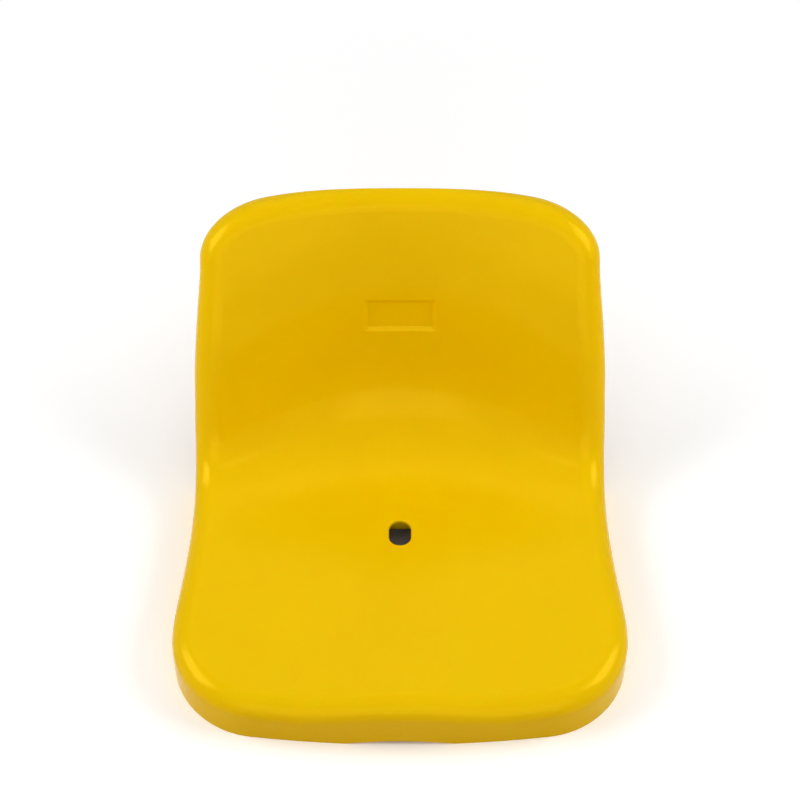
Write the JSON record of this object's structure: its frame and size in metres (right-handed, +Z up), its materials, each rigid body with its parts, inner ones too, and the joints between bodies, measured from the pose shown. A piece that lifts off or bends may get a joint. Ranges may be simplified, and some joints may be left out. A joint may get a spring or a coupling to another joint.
{
  "type": "stadium seat",
  "caption": "Low-back moulded stadium seat shell with a turned rim, a drain slot and a number recess, on bolted steel mounting rails.",
  "frame": {"origin": "middle of the width and of the depth of the shell, on the plane that the rim and the rails stand on", "axes": "+X to the side, +Y from the front edge to the back, +Z up; a sitter faces -Y"},
  "size_m": [0.43, 0.4348, 0.2915],
  "materials": {
    "shell_plastic": "smooth moulded polypropylene, coloured right through, with a soft gloss",
    "rail_steel": "galvanised, dull",
    "zinc_steel": "zinc plated, satin",
    "insert_brass": "turned"
  },
  "bodies": {
    "root": {"seat_shell": "shell_plastic", "mounting_rail_left": "rail_steel", "mounting_rail_right": "rail_steel", "threaded_insert_front_left": "insert_brass", "threaded_insert_front_right": "insert_brass", "threaded_insert_rear_left": "insert_brass", "threaded_insert_rear_right": "insert_brass", "flat_washer_front_left": "zinc_steel", "flat_washer_front_right": "zinc_steel", "flat_washer_rear_left": "zinc_steel", "flat_washer_rear_right": "zinc_steel", "spring_washer_front_left": "zinc_steel", "spring_washer_front_right": "zinc_steel", "spring_washer_rear_left": "zinc_steel", "spring_washer_rear_right": "zinc_steel", "rail_bolt_front_left": "zinc_steel", "rail_bolt_front_right": "zinc_steel", "rail_bolt_rear_left": "zinc_steel", "rail_bolt_rear_right": "zinc_steel", "weld_nut_front_left": "rail_steel", "weld_nut_front_right": "rail_steel", "weld_nut_rear_left": "rail_steel", "weld_nut_rear_right": "rail_steel"}
  },
  "joints": []
}
